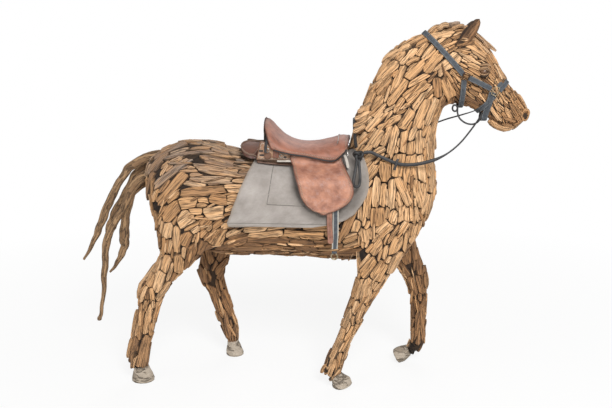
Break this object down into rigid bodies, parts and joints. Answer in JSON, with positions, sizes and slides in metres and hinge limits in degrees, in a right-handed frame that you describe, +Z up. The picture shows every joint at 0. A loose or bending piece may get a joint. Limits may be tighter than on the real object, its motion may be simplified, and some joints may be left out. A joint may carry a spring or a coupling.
{
  "type": "driftwood horse figure",
  "caption": "Pony-size walking horse figure of driftwood chips on a steel frame, with root tail, leather saddle, canvas cloth, webbing headcollar and reins.",
  "frame": {"origin": "on the floor below the middle of the bounding box, in the plane of symmetry of the body", "axes": "+X towards the head, +Y to the horse's left, +Z up"},
  "size_m": [2.3094, 0.6294, 1.8543],
  "materials": {
    "driftwood": "weathered golden-brown driftwood",
    "pale_wood": "bleached grey-cream carved wood",
    "frame_steel": "dark, dull",
    "canvas": "washed canvas, stitched",
    "saddle_leather": "worn waxed red-brown leather",
    "webbing": "dark slate webbing",
    "rein_leather": "dull black leather",
    "bright_steel": "tarnished steel"
  },
  "bodies": {
    "horse": {"rump": "driftwood", "barrel": "driftwood", "chest": "driftwood", "neck_lower": "driftwood", "neck_upper": "driftwood", "head": "driftwood", "right_ear": "driftwood", "left_ear": "driftwood", "right_eye": "driftwood", "left_eye": "driftwood", "tail_root_upper": "driftwood", "tail_root_middle": "driftwood", "tail_root_long": "driftwood", "tail_root_short": "driftwood", "right_hind_upper_leg": "driftwood", "right_hind_lower_leg": "driftwood", "right_hind_hoof": "pale_wood", "right_fore_upper_leg": "driftwood", "right_fore_lower_leg": "driftwood", "right_fore_hoof": "pale_wood", "left_hind_upper_leg": "driftwood", "left_hind_lower_leg": "driftwood", "left_hind_hoof": "pale_wood", "left_fore_upper_leg": "driftwood", "left_fore_lower_leg": "driftwood", "left_fore_hoof": "pale_wood", "steel_frame": "frame_steel", "saddle_cloth": "canvas", "crown_strap": "webbing", "noseband": "webbing", "chin_strap": "webbing", "throat_strap": "webbing", "cheek_strap_right": "webbing", "cheek_strap_left": "webbing", "cheek_ring_right": "bright_steel", "cheek_ring_left": "bright_steel", "nose_ring_right": "bright_steel", "nose_ring_left": "bright_steel", "rein_right": "rein_leather", "rein_left": "rein_leather", "rein_tail_loop": "rein_leather", "jaw_loop": "rein_leather", "rein_knot": "rein_leather"},
    "saddle": {"right_bearing_board": "saddle_leather", "left_bearing_board": "saddle_leather", "pommel_arch": "frame_steel", "cantle_arch": "frame_steel", "seat": "saddle_leather", "cantle": "saddle_leather", "strap_hanger_right": "frame_steel", "strap_hanger_left": "frame_steel"},
    "flap_right": {"saddle_flap_right": "saddle_leather"},
    "strap_right": {"web_strap_right": "webbing", "leather_billet_right": "saddle_leather"},
    "ring_right": {"strap_ring_right": "bright_steel"},
    "flap_left": {"saddle_flap_left": "saddle_leather"},
    "strap_left": {"web_strap_left": "webbing", "leather_billet_left": "saddle_leather"},
    "ring_left": {"strap_ring_left": "bright_steel"}
  },
  "joints": [
    {"name": "saddle_lift", "type": "slide", "parent": "horse", "child": "saddle", "axis": [-0.3401, 0, 0.9404], "range_m": [0, 0.5]},
    {"name": "flap_lift_right", "type": "hinge", "parent": "saddle", "child": "flap_right", "pos_m": [0.207, -0.189, 1.16], "axis": [-1, 0, 0], "range_deg": [0, 50]},
    {"name": "flap_lift_left", "type": "hinge", "parent": "saddle", "child": "flap_left", "pos_m": [0.207, 0.189, 1.16], "axis": [1, 0, 0], "range_deg": [0, 50]},
    {"name": "strap_swing_right", "type": "hinge", "parent": "saddle", "child": "strap_right", "pos_m": [0.207, -0.3017, 1.045], "axis": [0, 1, 0], "range_deg": [-20, 20]},
    {"name": "strap_swing_left", "type": "hinge", "parent": "saddle", "child": "strap_left", "pos_m": [0.207, 0.3017, 1.045], "axis": [0, 1, 0], "range_deg": [-20, 20]},
    {"name": "ring_swing_right", "type": "hinge", "parent": "strap_right", "child": "ring_right", "pos_m": [0.207, -0.3017, 0.746], "axis": [1, 0, 0], "range_deg": [-35, 35]},
    {"name": "ring_swing_left", "type": "hinge", "parent": "strap_left", "child": "ring_left", "pos_m": [0.207, 0.3017, 0.746], "axis": [1, 0, 0], "range_deg": [-35, 35]}
  ]
}
